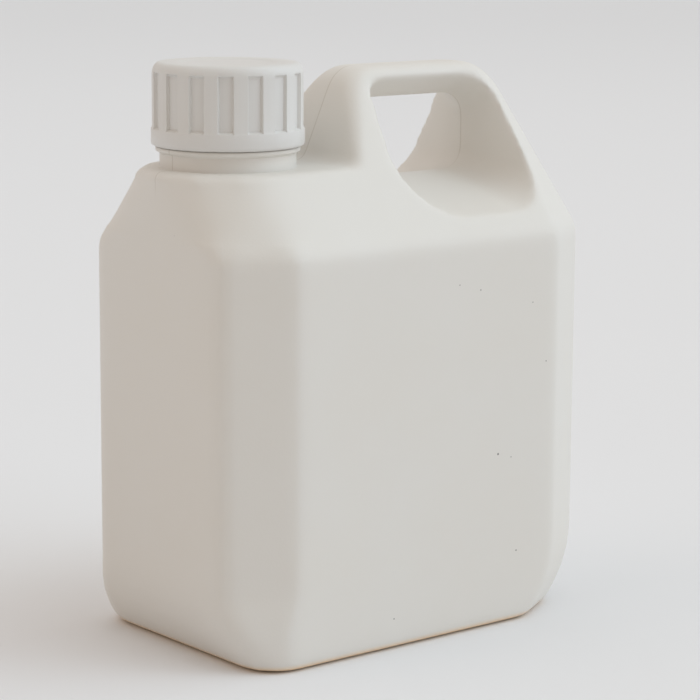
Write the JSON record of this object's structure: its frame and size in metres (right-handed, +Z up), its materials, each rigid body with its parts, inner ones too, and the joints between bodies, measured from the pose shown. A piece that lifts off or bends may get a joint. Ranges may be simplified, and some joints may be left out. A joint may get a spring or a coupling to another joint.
{
  "type": "chemical storage bottle",
  "caption": "Upright rectangular blow-moulded bottle with cut corners, a moulded-in handle with a finger window, and a ribbed screw cap with a sealing wad over its offset neck.",
  "frame": {"origin": "on the standing plane, under the middle of the body's length and width", "axes": "+Z up, X along the body's long side with the handle at +X and the neck at -X, +Y to the far long side when the handle is on the right"},
  "size_m": [0.13, 0.0786, 0.161],
  "materials": {
    "bottle_plastic": "satin off-white polyethylene",
    "cap_plastic": "satin off-white polyethylene",
    "wad_foam": "matte closed-cell foam"
  },
  "bodies": {
    "bottle": {"bottle": "bottle_plastic"},
    "wad": {"sealing_wad": "wad_foam"},
    "cap": {"screw_cap": "cap_plastic"}
  },
  "joints": [
    {"name": "cap_rise", "type": "slide", "parent": "bottle", "child": "wad", "axis": [0, 0, 1], "range_m": [0, 0.0085]},
    {"name": "cap_turn", "type": "hinge", "parent": "wad", "child": "cap", "pos_m": [-0.04053, 0, 0.1385], "axis": [0, 0, 1], "range_deg": [0, 720]}
  ],
  "couplings": [
    {"joint": "cap_rise", "follows": "cap_turn", "m_per_rad": 0.00066845}
  ]
}
